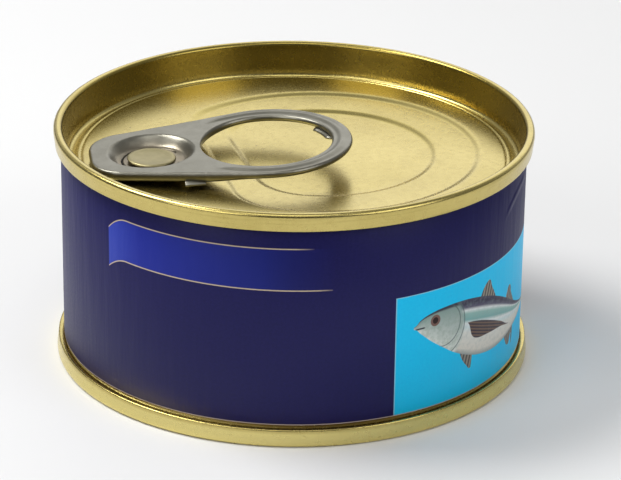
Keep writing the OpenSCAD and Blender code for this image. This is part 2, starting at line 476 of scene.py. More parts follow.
def grow_loop(bm, edges, target):
    """Extrudes a loop of edges, moves each new vertex to target(place), gives the new loop."""
    made = bmesh.ops.extrude_edge_only(bm, edges=edges)["geom"]
    verts = [g for g in made if isinstance(g, bmesh.types.BMVert)]
    for v in verts:
        v.co = target(v.co)
    return [g for g in made if isinstance(g, bmesh.types.BMEdge)
            and g.verts[0] in verts and g.verts[1] in verts]


def to_field(centre, outline, height):
    def target(co):
        angle = math.atan2(co.y - centre.y, co.x - centre.x)
        reach = field_reach(angle - LID_TURN, *outline)
        return Vector((
            centre.x + reach * math.cos(angle),
            centre.y + reach * math.sin(angle),
            PANEL_Z + height,
        ))
    return target


centre = Vector((FIELD_OFF * math.cos(LID_TURN), FIELD_OFF * math.sin(LID_TURN), 0.0))
print("loops in the fields:", len(field_loops()))


# %% Make the lid
CHANNEL_R = 0.7
CENTRE_SHARES = (0.92, 0.7, 0.48, 0.26, 0.1)


def lid_section():
    ring_top = CAN_H - CROWN_R
    panel_r = SEAM_IN - 0.5 - 2 * CHANNEL_R
    channel = arc(panel_r + CHANNEL_R, PANEL_Z, CHANNEL_R, 0, -180, 12)
    body = [(0.0, LID_Z), (WALL_R - 0.1, LID_Z), (WALL_R, LID_Z + 0.1)]
    skirt = [(r, CAN_H + z) for r, z in reversed(seam_outside())]
    inside = [(r, CAN_H + z) for r, z in reversed(seam_inside())]
    wall = [
        (SEAM_IN - 0.01, ring_top - 0.25),
        (SEAM_IN - 0.10, ring_top - 1.10),
        (SEAM_IN - 0.28, ring_top - 2.30),
        (SEAM_IN - 0.43, PANEL_Z + 0.45),
        (SEAM_IN - 0.48, PANEL_Z + 0.15),
    ]
    shoulder = [
        (panel_r - 0.02, PANEL_Z - 0.12),
        (panel_r - 0.08, PANEL_Z - 0.04),
        (panel_r - 0.20, PANEL_Z),
    ]
    score_r = panel_r - 0.7
    score = [
        (score_r + 0.12, PANEL_Z),
        (score_r + 0.08, PANEL_Z - 0.02),
        (score_r + 0.02, PANEL_Z - 0.13),
        (score_r - 0.02, PANEL_Z - 0.13),
        (score_r - 0.08, PANEL_Z - 0.02),
        (score_r - 0.12, PANEL_Z),
        (score_r - 0.45, PANEL_Z),
    ]
    channel = [(r, z) for r, z in channel if z < PANEL_Z - 0.13]
    return body + skirt + inside + wall + channel + shoulder + score


def make_lid():
    bm = bmesh.new()
    section = lid_section()
    spin_section(bm, section, 256)
    edges = [
        e for e in bm.edges
        if e.is_boundary and abs(e.verts[0].co.xy.length - section[-1][0]) < 1e-3
    ]
    land = tuple(v + LAND for v in field_loops()[0][0])
    edges = grow_loop(bm, edges, to_field(centre, land, 0.0))
    for outline, height in field_loops():
        edges = grow_loop(bm, edges, to_field(centre, outline, height))
    last, height = field_loops()[-1]
    for share in CENTRE_SHARES:
        outline = tuple(v * share for v in last)
        edges = grow_loop(bm, edges, to_field(centre, outline, height))
    bmesh.ops.contextual_create(bm, geom=edges)
    return bm


RIVET_OFF = 20.9
HEAD_FOOT = 0.805
HEAD_T = 0.38


def add_rivet(bm, at):
    """The rivet's neck and its flat head, a closed body of its own in the lid's mesh."""
    head = HEAD_FOOT
    top = head + HEAD_T
    section = [
        (0.0, -0.1), (1.8, -0.1), (1.8, head - 0.02), (3.25, head), (3.40, head + 0.06),
        (3.45, head + 0.17), (3.43, top - 0.14), (3.33, top - 0.04), (3.15, top),
        (2.75, top), (2.60, top - 0.05), (1.2, top - 0.07), (0.0, top - 0.07),
    ]
    stud = bmesh.new()
    spin_section(stud, section, 96)
    bmesh.ops.translate(stud, vec=at, verts=stud.verts)
    for face in stud.faces:
        face.material_index = 1
    join(bm, stud)


rivet_at = Vector((-RIVET_OFF * math.cos(LID_TURN), -RIVET_OFF * math.sin(LID_TURN), PANEL_Z))
lid_mesh = make_lid()
add_rivet(lid_mesh, rivet_at)
lid = finish_piece("ring_pull_lid", lid_mesh, gold, "gold_metal", "lid")
lid.data.materials.append(rivet_gold)

# %% [markdown]
# The lower end is the same seam the other way up, folded onto a plain pressed base. The
# base is set well up inside, with one low stiffening ring, so the can only ever stands on
# the seam's narrow crown.

# %% Make the lower end
BASE_DEPTH = 3.4
BASE_RING_R = SEAM_IN - 9.0


def base_section():
    depth, ring_r = BASE_DEPTH, BASE_RING_R
    top = [(0.0, BASE_Z), (WALL_R - 0.1, BASE_Z), (WALL_R, BASE_Z - 0.1)]
    skirt = [(r, -z) for r, z in reversed(seam_outside())]
    inside = [(r, -z) for r, z in reversed(seam_inside())]
    wall = [
        (SEAM_IN, 1.4),
        (SEAM_IN - 0.02, depth - 0.6),
        (SEAM_IN - 0.2, depth - 0.17),
        (SEAM_IN - 0.6, depth),
    ]
    press = [
        (ring_r + 0.4, depth), (ring_r, depth - 0.08), (ring_r - 0.5, depth - 0.5),
        (ring_r - 0.9, depth - 0.6), (ring_r - 2.1, depth - 0.6), (ring_r - 2.5, depth - 0.5),
        (ring_r - 3.0, depth - 0.08), (ring_r - 3.4, depth),
    ]
    return top + skirt + inside + wall + press + [(0.0, depth)]


base_mesh = bmesh.new()
spin_section(base_mesh, base_section(), 256)
finish_piece("lower_end", base_mesh, gold, "gold_metal", "bottom_end")

# %% [markdown]
# The tab is pressed from steel strip. All round its outside, and round the finger hole,
# the sheet is curled under, which makes the soft thick edge that fingers pull on. A round
# dish is pressed down to the lid where the rivet holds it, and a C-shaped slit in the
# dish's floor lets the rest of the tab swing up.
#
# Its outline is three circles joined by their tangents, the big one round the finger hole
# and two small ones at the nose. The sheet is two rings of faces that meet on a line across
# the bridge: one round the rivet, one round the finger hole. Each starts as an inner loop
# of edges and grows outwards, one loop at a time, until it meets the outline. Last, every
# vertex is raised to the height of the pressed sheet at that spot, once for the top face
# and once for the underside, and the two sheets are merged where they touch.

# %% Outline of the tab
RING_R, RING_BAND, RING_OFF = 12.2, 2.9, 16.5
HOLE_R = RING_R - RING_BAND
NOSE_LEN, NOSE_R, NOSE_Y = 8.7, 5.4, 2.1
DISH_FLOOR_R = 4.75
NECK_R = 2.0
RIM_H, WEB_T = 1.9, 0.5
WEB_DROP = 0.30
WEB_UNDER = 1.25
DISH_UNDER = -0.3
DISH_SLOPE = 1.75
BRIDGE_X = 6.75
CIRCLES = (
    (RING_OFF, 0.0, RING_R),
    (-NOSE_LEN + NOSE_R, NOSE_Y, NOSE_R),
    (-NOSE_LEN + NOSE_R, -NOSE_Y, NOSE_R),
)


def tangent_angle(first, second):
    """Direction of the outward normal of the tangent between two circles."""
    dx, dy = second[0] - first[0], second[1] - first[1]
    return math.atan2(dy, dx) - math.acos((first[2] - second[2]) / math.hypot(dx, dy))


TANGENTS = [tangent_angle(CIRCLES[i], CIRCLES[(i + 1) % 3]) for i in range(3)]


def rim_depth(x, y):
    """How far a point lies inside the tab's outline."""
    depth = 1e9
    for i in range(3):
        cx, cy, r = CIRCLES[i]
        a = TANGENTS[i]
        depth = min(depth, r - (x - cx) * math.cos(a) - (y - cy) * math.sin(a))
        span = (a - TANGENTS[i - 1]) % math.tau
        turn = (math.atan2(y - cy, x - cx) - TANGENTS[i - 1]) % math.tau
        if turn <= span:
            depth = min(depth, r - math.hypot(x - cx, y - cy))
    return depth


def ray_to_rim(cx, cy, angle):
    """Distance from a point inside the outline to the outline, in one direction."""
    low, high = 0.0, 60.0
    for _ in range(40):
        mid = (low + high) / 2
        inside = rim_depth(cx + mid * math.cos(angle), cy + mid * math.sin(angle)) > 0
        low, high = (mid, high) if inside else (low, mid)
    return low


bridge_half = ray_to_rim(BRIDGE_X, 0.0, math.pi / 2)
print(f"tab {NOSE_LEN + RING_OFF + RING_R:.1f} mm long, {2 * bridge_half:.1f} mm wide at the bridge")

# %% Height of the pressed sheet
EDGE_MM = 1e-4
SLIT_IN, SLIT_OUT = 4.02, 4.34
SLIT_DEPTH, SLIT_EDGE = 0.44, 0.05
SLIT_HALF_TURN = math.radians(150)


def ease(t):
    t = min(max(t, 0.0), 1.0)
    return t * t * (3 - 2 * t)


def curl(depth):
    """Half-round edge: 0 at the very edge, RIM_H / 2 once past the curl.

    The curl is so steep at the edge that a rounding error in depth would part the two
    sheets there, so any depth under EDGE_MM counts as the edge itself.
    """
    if depth < EDGE_MM:
        return 0.0
    r = RIM_H / 2
    return math.sqrt(max(r * r - (r - min(depth, r)) ** 2, 0.0))


def crest(depth, width):
    """The curl's top, and its gentle fall to the flat web."""
    return RIM_H / 2 + curl(depth) - WEB_DROP * ease((depth - 1.45) / width)


def top_height(x, y):
    rim = crest(rim_depth(x, y), 0.9)
    hole = crest(math.hypot(x - RING_OFF, y) - HOLE_R, 1.0)
    r = math.hypot(x, y)
    web = min(rim, hole)
    floor = DISH_UNDER + WEB_T
    sheet = floor + (web - floor) * ease((r - DISH_FLOOR_R + 0.15) / DISH_SLOPE)
    return sheet - slit(x, y, r) if r > NECK_R + 0.01 else 0.0


def slit(x, y, r):
    """The C-shaped cut round the rivet's tongue."""
    if abs(math.atan2(y, -x)) > SLIT_HALF_TURN:
        return 0.0
    return SLIT_DEPTH * ease((r - SLIT_IN) / SLIT_EDGE) * ease((SLIT_OUT - r) / SLIT_EDGE)


def under_height(x, y):
    r = math.hypot(x, y)
    if r <= NECK_R + 0.01:
        return 0.0
    rim = rim_depth(x, y)
    hole = math.hypot(x - RING_OFF, y) - HOLE_R
    edge = RIM_H / 2 - min(curl(rim), curl(hole))
    web = WEB_UNDER * ease((min(rim, hole) - 1.9) / 0.5)
    sheet = max(edge, web)
    return DISH_UNDER + (sheet - DISH_UNDER) * ease((r - DISH_FLOOR_R - 0.1) / DISH_SLOPE)


print(f"height of the web {top_height(6.6, 0.0):.2f} mm, of the dish {top_height(4.5, 0.0):.2f} mm")

# %% Grow the two rings of faces
BRIDGE_STEPS = 36
RIM_SPOKES = 150
FAR = 99.0
known_reach = {}


def sheet_reach(cx, angle):
    """Distance from a ring's centre to the tab's outline, or to the line across the bridge."""
    key = (cx, round(angle, 5))
    if key not in known_reach:
        toward = math.cos(angle) * (BRIDGE_X - cx)
        line = abs(BRIDGE_X - cx) / abs(math.cos(angle)) if toward > 0 else FAR
        known_reach[key] = min(line, ray_to_rim(cx, 0.0, angle))
    return known_reach[key]


def spoke_angles(cx):
    """Spokes crowd together where the line across the bridge meets the rim."""
    ys = [-bridge_half * math.cos(math.pi * i / BRIDGE_STEPS) for i in range(BRIDGE_STEPS + 1)]
    cut = sorted(math.atan2(y, BRIDGE_X - cx) % math.tau for y in ys)
    if BRIDGE_X > cx:
        cut = sorted(math.atan2(y, BRIDGE_X - cx) for y in ys)
    gap = math.tau - (cut[-1] - cut[0])
    return cut + [cut[-1] + gap * i / RIM_SPOKES for i in range(1, RIM_SPOKES)]


def grow_sheet(cx, first_r, stations):
    """A flat ring of faces grown outwards, one loop for each station on the spokes."""
    bm = bmesh.new()
    angles = spoke_angles(cx)
    loop = bmesh.ops.create_circle(bm, segments=len(angles), radius=1.0)["verts"]
    for v, angle in zip(loop, angles):
        v.co = Vector((cx + first_r * math.cos(angle), first_r * math.sin(angle), 0.0))
    edges = list(bm.edges)
    for station in stations:
        def target(co, station=station):
            angle = math.atan2(co.y, co.x - cx)
            r = station(sheet_reach(cx, angle))
            return Vector((cx + r * math.cos(angle), r * math.sin(angle), 0.0))
        edges = grow_loop(bm, edges, target)
    return bm


def fixed_steps(*radii):
    return [lambda reach, r=r: r for r in radii]


def soft_steps(first, count):
    """Steps that crowd together at both ends of a spoke."""
    shares = [(1 - math.cos(math.pi * i / count)) / 2 for i in range(1, count + 1)]
    return [lambda reach, t=t: first + (reach - first) * t for t in shares]


print("spokes round the rivet:", len(spoke_angles(0.0)))

# %% Press the tab
DISH_STEPS = (
    2.8, 3.5, 3.9, SLIT_IN, 4.07, 4.18, 4.29, SLIT_OUT, 4.45, 4.6, 4.75, 4.9, 5.05, 5.2,
    5.35, 5.5, 5.65, 5.8, 5.95, 6.1, 6.25, 6.4,
)


RING_THINNING = 0.32


def thinner(x, z):
    """The curl is pressed flatter round the ring than at the nose; its top stays level."""
    return RIM_H - (RIM_H - z) * (1 - RING_THINNING * ease((x - 6.0) / 9.0))


def raise_sheet(flat, height):
    """A copy of the flat sheet with every vertex lifted to its height."""
    sheet = flat.copy()
    for v in sheet.verts:
        v.co.z = thinner(v.co.x, height(v.co.x, v.co.y))
    return sheet


def make_tab():
    flat = grow_sheet(0.0, NECK_R, fixed_steps(*DISH_STEPS) + soft_steps(DISH_STEPS[-1], 18))
    join(flat, grow_sheet(RING_OFF, HOLE_R, soft_steps(HOLE_R, 28)))
    bmesh.ops.remove_doubles(flat, verts=flat.verts, dist=1e-4)
    edge = sum(1 for e in flat.edges if e.is_boundary)
    print("edges round the flat sheet:", edge)
    tab_bm = raise_sheet(flat, top_height)
    join(tab_bm, raise_sheet(flat, under_height))
    flat.free()
    rim = [v for v in tab_bm.verts if v.is_boundary]
    bmesh.ops.remove_doubles(tab_bm, verts=rim, dist=1e-3)
    return tab_bm


# %% [markdown]
# Two small parts of the pressing show from close by: a stub left on the near edge, where
# the tab was cut from its strip, and a lip inside the ring where the curl's inner edge was
# gathered. The stub is a short block of faces with rounded edges and the lip a short swept
# block, each sunk a little into the tab.

# %% Add the stub and the lip
STUB_X = 5.3
STUB_SIZE = (2.9, 1.0, 0.36)
STUB_LEAN = 0.45
LIP_FROM, LIP_SWEEP = 6, 30
LIP_SECTION = ((8.75, 0.52), (9.95, 0.60), (9.95, 0.95), (8.75, 0.74))


def add_stub(bm):
    part = bmesh.new()
    edge_y = -ray_to_rim(STUB_X, 0.0, -math.pi / 2)
    bmesh.ops.create_cube(part, size=1.0)
    bmesh.ops.scale(part, vec=STUB_SIZE, verts=part.verts)
    bmesh.ops.bevel(
        part, geom=part.edges, offset=0.12, offset_type="OFFSET", affect="EDGES",
        segments=3, profile=0.5, material=-1,
    )
    lean = Matrix.Rotation(STUB_LEAN, 3, "X")
    bmesh.ops.rotate(part, verts=part.verts, cent=(0, 0, 0), matrix=lean)
    bmesh.ops.translate(part, vec=(STUB_X, edge_y + 0.05, 0.16), verts=part.verts)
    join(bm, part)


def add_lip(bm):
    """A short swept block; its inner edge is drawn out at both ends and gently gathered."""
    part = bmesh.new()
    verts = [part.verts.new((r, 0.0, z)) for r, z in LIP_SECTION]
    start = Matrix.Rotation(math.radians(LIP_FROM), 3, "Z")
    bmesh.ops.rotate(part, verts=verts, cent=(0, 0, 0), matrix=start)
    first = part.faces.new(verts)
    bmesh.ops.spin(
        part, geom=[first], cent=(0, 0, 0), axis=(0, 0, 1), angle=math.radians(LIP_SWEEP),
        steps=12, use_duplicate=False,
    )
    for v in part.verts:
        if v.co.xy.length >= 9.0:
            continue
        turn = math.degrees(math.atan2(v.co.y, v.co.x)) - LIP_FROM
        if turn < 1 or turn > LIP_SWEEP - 1:
            v.co.xy *= 1.08
        v.co.z += 0.012 * abs(math.sin(math.radians(turn * 6)))
    bmesh.ops.translate(part, vec=(RING_OFF, 0, 0), verts=part.verts)
    join(bm, part)


TAB_TURN = math.radians(-7.8)
TAB_TILT = math.radians(2.9)
tab_axis = Matrix.Rotation(LID_TURN + TAB_TURN, 3, "Z") @ Vector((1.0, 0.0, 0.0))
tab_place = (
    Matrix.Rotation(LID_TURN, 4, "Z")
    @ Matrix.Translation((-RIVET_OFF, 0, PANEL_Z + 0.5))
    @ Matrix.Rotation(TAB_TURN, 4, "Z")
    @ Matrix.Rotation(-TAB_TILT, 4, "Y")
)
print(f"tab tilted {math.degrees(TAB_TILT):.1f} degrees, turned {math.degrees(TAB_TURN):.1f}")

# %% [markdown]
# The tab's steel is bare and dull: a mid grey with a faint warm cast, satin rather than
# shiny, lightly pebbled where the press stretched it, with small rubbed spots. The colour
# of a metal is the colour of its reflections, so it is kept near neutral.

# %% Satin tab steel
WARM_STEEL = (0.300, 0.235, 0.150, 1.0)
# Painted shade: the near-black colour of the slit.
SLIT_SHADE = (0.020, 0.017, 0.012, 1.0)
TONGUE_COS = 0.87


def make_steel():
    material, tree, shader = new_material("satin_tab_steel")
    place = object_mm(tree)
    clouds = noise(tree, place, 0.35, 4.0, 0.6)
    pebble = noise(tree, place, 4.5, 3.0, 0.6)
    base_colour = ramp(
        tree, clouds,
        (0.30, (0.215, 0.206, 0.166, 1.0)),
        (0.72, (0.285, 0.274, 0.228, 1.0)),
    )
    spot = put(tree, "ShaderNodeTexCoord").outputs["Object"]
    from_rivet = put(
        tree, "ShaderNodeVectorMath", spot, (rivet_at.x * MM, rivet_at.y * MM, 0.0),
        operation="SUBTRACT",
    ).outputs[0]
    across = put(tree, "ShaderNodeVectorMath", from_rivet, (1.0, 1.0, 0.0), operation="MULTIPLY")
    away = put(tree, "ShaderNodeVectorMath", across.outputs[0], operation="LENGTH")
    radius = calc(tree, "DIVIDE", away.outputs["Value"], MM)
    warm = both(tree, below(tree, radius, 5.2, 0.9), clouds)
    base_colour = blend(tree, warm, base_colour, WARM_STEEL)
    facing_ring = put(
        tree, "ShaderNodeVectorMath", across.outputs[0], tuple(tab_axis),
        operation="DOT_PRODUCT",
    )
    ahead = calc(tree, "DIVIDE", facing_ring.outputs["Value"], away.outputs["Value"])
    # Painted shade: the C-shaped slit is painted near black for the shadow in the cut.
    cut = both(
        tree, between(tree, radius, SLIT_IN, SLIT_OUT, 0.04),
        calc(tree, "LESS_THAN", ahead, TONGUE_COS),
    )
    base_colour = blend(tree, cut, base_colour, SLIT_SHADE)
    tree.links.new(base_colour, shader.inputs["Base Color"])
    rough = remap(tree, pebble, 0.25, 0.75, 0.28, 0.40)
    tree.links.new(rough, shader.inputs["Roughness"])
    shader.inputs["Metallic"].default_value = 1.0
    add_bump(tree, shader, pebble, 0.3, 0.00003)
    return material


steel = make_steel()
tab_mesh = make_tab()
add_stub(tab_mesh)
add_lip(tab_mesh)
finish_piece("pull_tab_steel", tab_mesh, steel, "tab_steel", "pull_tab", place=tab_place)

# %% [markdown]
# The label is one sheet of varnished paper wrapped round the wall, and its two ends lap at
# the back. Its print is drawn by formula. First the surface gets two measures in
# millimetres: how far round from the front, and how high. Every printed shape is then a
# mask made of comparisons of those two numbers: fields, thin rules, and a plain fish whose
# back, belly and fins follow lines drawn with curve nodes.

# %% Helpers for the print
SPAN = (15.0, 57.0)
RISE = (2.0, 22.0)


def curve_of(tree, along, points):
    """Height in millimetres along a drawn line through (distance, height) points."""
    made = tree.nodes.new("ShaderNodeFloatCurve")
    line = made.mapping.curves[0]
    spots = [
        ((s - SPAN[0]) / (SPAN[1] - SPAN[0]), (z - RISE[0]) / (RISE[1] - RISE[0]))
        for s, z in points
    ]
    line.points[0].location = spots[0]
    line.points[1].location = spots[-1]
    for spot in spots[1:-1]:
        line.points.new(*spot)
    made.mapping.update()
    made.inputs[0].default_value = 1.0
    tree.links.new(remap(tree, along, SPAN[0], SPAN[1], 0.0, 1.0), made.inputs[1])
    return remap(tree, made.outputs[0], 0.0, 1.0, RISE[0], RISE[1])


def label_measures(tree):
    """(distance round the label from its front, height), both in millimetres."""
    place = put(tree, "ShaderNodeTexCoord").outputs["Object"]
    parts = put(tree, "ShaderNodeSeparateXYZ", place).outputs
    back = calc(tree, "MULTIPLY", parts[1], -1.0)
    around = calc(tree, "MULTIPLY", calc(tree, "ARCTAN2", parts[0], back), LABEL_R)
    return around, calc(tree, "DIVIDE", parts[2], MM)


def circle_from(tree, around, up, s, z):
    """Distance of each spot from a printed point."""
    ds = calc(tree, "SUBTRACT", around, s)
    dz = calc(tree, "SUBTRACT", up, z)
    squares = calc(tree, "ADD", calc(tree, "MULTIPLY", ds, ds), calc(tree, "MULTIPLY", dz, dz))
    return calc(tree, "SQRT", squares)


print(f"label {math.tau * LABEL_R:.1f} mm round and {LABEL_TOP - LABEL_LOW:.2f} mm high")

# %% [markdown]
# The banner is a lighter blue field between two thin tan rules that turn down at their left
# ends. It carries nothing. The rules are bands a tenth of a millimetre high round the same
# two lines that bound the field.

# %% Print the banner
BANNER_LEFT = -28.75
BANNER_TOP, BANNER_LOW = 29.3, 23.2
BEND_FROM, BEND_W = -25.0, 3.7
RULE_INK = ink(196, 178, 150)


def print_banner(tree, colour, around, up):
    past_end = calc(tree, "MAXIMUM", calc(tree, "SUBTRACT", BEND_FROM, around), 0.0)
    bend = calc(tree, "POWER", calc(tree, "DIVIDE", past_end, BEND_W), 2.0)
    top = calc(tree, "SUBTRACT", BANNER_TOP, calc(tree, "MULTIPLY", bend, 1.9))
    low = calc(tree, "SUBTRACT", BANNER_LOW, calc(tree, "MULTIPLY", bend, 1.6))
    ends = between(tree, around, BANNER_LEFT, 5.5, 0.08)
    field = both(
        tree, between(tree, around, BANNER_LEFT, 30.0, 0.08),
        step_up(tree, up, low, 0.05), below(tree, up, top, 0.05),
    )
    fade = remap(tree, around, -4.0, 6.0, 1.0, 0.0)
    blues = ramp(
        tree, remap(tree, around, -29.0, 0.0, 0.0, 1.0),
        (0.0, ink(50, 68, 172)), (0.22, ink(28, 42, 146)), (1.0, ink(20, 30, 108)),
    )
    colour = blend(tree, both(tree, field, fade), colour, blues)
    for line, stop in ((top, 2.0), (low, 5.0)):
        gap = calc(tree, "ABSOLUTE", calc(tree, "SUBTRACT", up, line))
        rule = below(tree, gap, 0.08, 0.05)
        taper = remap(tree, around, stop - 1.5, stop + 1.0, 1.0, 0.0)
        colour = blend(tree, both(tree, rule, ends, taper), colour, RULE_INK)
    return colour


print(f"banner {BANNER_TOP - BANNER_LOW:.1f} mm high at its straight part")

# %% [markdown]
# The fish is a plain one, such as any fishing book has: dark back, pale bands along the
# side, white belly, a long side fin. Its colour runs across the body from belly to back
# through a colour ramp, and the fins, the gill lines and the eye are laid over it.

# %% Print the fish
BACK = (
    (15, 15.6), (17.6, 15.9), (18.6, 16.7), (20.3, 17.35), (23, 17.7), (26, 17.65), (29, 17.2),
    (32, 16.4), (35, 15.25), (38, 13.8), (41, 12.2), (44, 10.9), (47, 9.95), (49, 9.65),
    (57, 9.5),
)
BELLY = (
    (15, 15.6), (17.6, 15.5), (18.6, 14.7), (20.5, 13.1), (22.5, 11.7), (25, 10.1), (28, 8.75),
    (31, 7.95), (34, 7.6), (37, 7.7), (40, 8.05), (43, 8.5), (46, 8.9), (49, 9.15), (57, 9.3),
)
TOP_FINS = (
    (15, 3), (29.6, 15.5), (30.4, 17.2), (31.6, 18.5), (32.3, 18.75), (33.0, 17.6), (34.0, 16.0),
    (35.5, 13.0), (36.9, 12.5), (38.0, 14.4), (39.2, 15.4), (39.8, 14.1), (41.0, 12.3),
    (43, 9.0), (57, 3),
)
LOW_FINS = (
    (15, 12), (25.2, 11.0), (26.2, 8.9), (27.4, 7.3), (28.2, 6.7), (28.5, 8.4), (29.4, 10.5),
    (36.5, 10.0), (37.8, 7.4), (39.4, 6.0), (40.6, 5.5), (40.4, 7.4), (41.3, 9.0), (57, 12),
)
SIDE_FIN_TOP = (
    (15, 13.9), (27.3, 13.9), (29.5, 13.5), (32.5, 12.5), (36, 11.0), (39.3, 9.4), (57, 8.0),
)
SIDE_FIN_LOW = (
    (15, 14.2), (27.3, 13.9), (28.4, 11.6), (29.4, 10.9), (32.5, 10.5), (36, 10.15),
    (39.3, 9.4), (57, 9.5),
)
GILL_LINES = ((3.1, (22.7, 14.9)), (4.5, (22.2, 14.6)))
EYE = (21.1, 16.1)
HEAD_CENTRE = (21.2, 14.2)
TAIL_UP = 9.4


def print_tail(tree, colour, around, up):
    lift = calc(tree, "ABSOLUTE", calc(tree, "SUBTRACT", up, TAIL_UP))
    front = calc(tree, "ADD", 48.3, calc(tree, "MULTIPLY", lift, 0.95))
    rear = calc(tree, "ADD", 50.8, calc(tree, "MULTIPLY", calc(tree, "POWER", lift, 2.0), 0.19))
    tail = both(
        tree, step_up(tree, around, front, 0.06), below(tree, around, rear),
        below(tree, lift, 4.4),
    )
    return blend(tree, tail, colour, ink(96, 104, 122))


def print_fish(tree, colour, around, up):
    back = curve_of(tree, around, BACK)
    belly = curve_of(tree, around, BELLY)
    depth = calc(tree, "SUBTRACT", back, belly)
    share = calc(tree, "DIVIDE", calc(tree, "SUBTRACT", up, belly), calc(tree, "MAXIMUM", depth, 0.05))
    fan = calc(tree, "ADD", calc(tree, "MULTIPLY", around, 0.95), calc(tree, "MULTIPLY", up, -0.28))
    comb = calc(tree, "SINE", calc(tree, "MULTIPLY", fan, 9.0))
    fin = blend(tree, remap(tree, comb, -1.0, 1.0, 0.0, 1.0), ink(70, 66, 68), ink(156, 150, 138))
    sweep = calc(tree, "ADD", calc(tree, "MULTIPLY", around, 0.36), up)
    comb = calc(tree, "SINE", calc(tree, "MULTIPLY", sweep, 13.0))
    rays = remap(tree, comb, -1.0, 1.0, 0.0, 1.0)
    top_fin = both(tree, step_up(tree, up, calc(tree, "SUBTRACT", back, 0.2), 0.06),
                   below(tree, up, curve_of(tree, around, TOP_FINS)))
    low_fin = both(tree, below(tree, up, calc(tree, "ADD", belly, 0.2)),
                   step_up(tree, up, curve_of(tree, around, LOW_FINS), 0.06))
    beside = between(tree, around, 22.0, 46.0, 0.1)
    colour = blend(tree, both(tree, beside, top_fin), colour, fin)
    colour = blend(tree, both(tree, beside, low_fin), colour, fin)
    colour = print_tail(tree, colour, around, up)
    side = ramp(
        tree, share,
        (0.00, ink(150, 160, 160)), (0.10, ink(222, 218, 208)), (0.40, ink(226, 228, 222)),
        (0.50, ink(214, 230, 232)), (0.56, ink(232, 238, 238)), (0.63, ink(128, 178, 176)),
        (0.74, ink(150, 192, 186)), (0.80, ink(226, 232, 232)), (0.85, ink(92, 88, 112)),
        (0.93, ink(54, 50, 74)), (1.00, ink(66, 62, 84)),
    )
    shade = remap(tree, share, 0.0, 1.0, 0.0, 1.0)
    head = blend(tree, shade, ink(226, 232, 226), ink(122, 150, 148))
    at_head = below(tree, circle_from(tree, around, up, *HEAD_CENTRE), 5.4, 0.5)
    flat = put(tree, "ShaderNodeCombineXYZ", around, up, 0.0).outputs[0]
    blotch = noise(tree, flat, 1.3, 4.0, 0.65)
    side = blend(tree, remap(tree, blotch, 0.45, 0.75, 0.0, 0.35), side, ink(150, 168, 168))
    head = blend(tree, remap(tree, blotch, 0.40, 0.70, 0.0, 0.55), head, ink(140, 164, 150))
    side = blend(tree, at_head, side, head)
    ridge = both(tree, at_head, step_up(tree, share, 0.93, 0.03))
    side = blend(tree, ridge, side, ink(58, 60, 74))
    for radius, place in GILL_LINES:
        away = circle_from(tree, around, up, *place)
        ring = calc(tree, "ABSOLUTE", calc(tree, "SUBTRACT", away, radius))
        arc_mask = both(tree, below(tree, ring, 0.09, 0.07), step_up(tree, around, 20.6, 0.4))
        side = blend(tree, calc(tree, "MULTIPLY", arc_mask, 0.75), side, ink(78, 98, 100))
    pectoral = both(tree, below(tree, up, curve_of(tree, around, SIDE_FIN_TOP)),
                    step_up(tree, up, curve_of(tree, around, SIDE_FIN_LOW), 0.06),
                    between(tree, around, 27.4, 39.4, 0.1))
    side = blend(tree, pectoral, side, blend(tree, rays, ink(48, 44, 62), ink(122, 100, 84)))
    eye = circle_from(tree, around, up, *EYE)
    side = blend(tree, below(tree, eye, 0.85), side, ink(122, 92, 84))
    side = blend(tree, below(tree, eye, 0.48), side, ink(44, 26, 26))
    off = calc(tree, "ABSOLUTE", calc(tree, "SUBTRACT", up, 15.45))
    mouth = both(tree, below(tree, off, 0.12), between(tree, around, 17.7, 19.3, 0.2))
    side = blend(tree, mouth, side, ink(50, 56, 66))
    body = both(
        tree, step_up(tree, up, belly, 0.06), below(tree, up, back),
        between(tree, around, 17.5, 49.2, 0.1),
    )
    return blend(tree, body, colour, side)


lines = (BACK, BELLY, TOP_FINS, LOW_FINS, SIDE_FIN_TOP, SIDE_FIN_LOW)
print("points in the fish's lines:", [len(line) for line in lines])

# %% [markdown]
# The paper itself: a navy ink over white stock, satin varnish, shallow ripples that run up
# and down where the glue pulled it, and one bent crease at the upper right. The cut edge of
# the sheet stays pale at its foot.

# %% Label paper
PANEL_BOX = (14.75, 62.0, 20.7)
CREASE_MID, CREASE_TOP = 45.0, 29.3


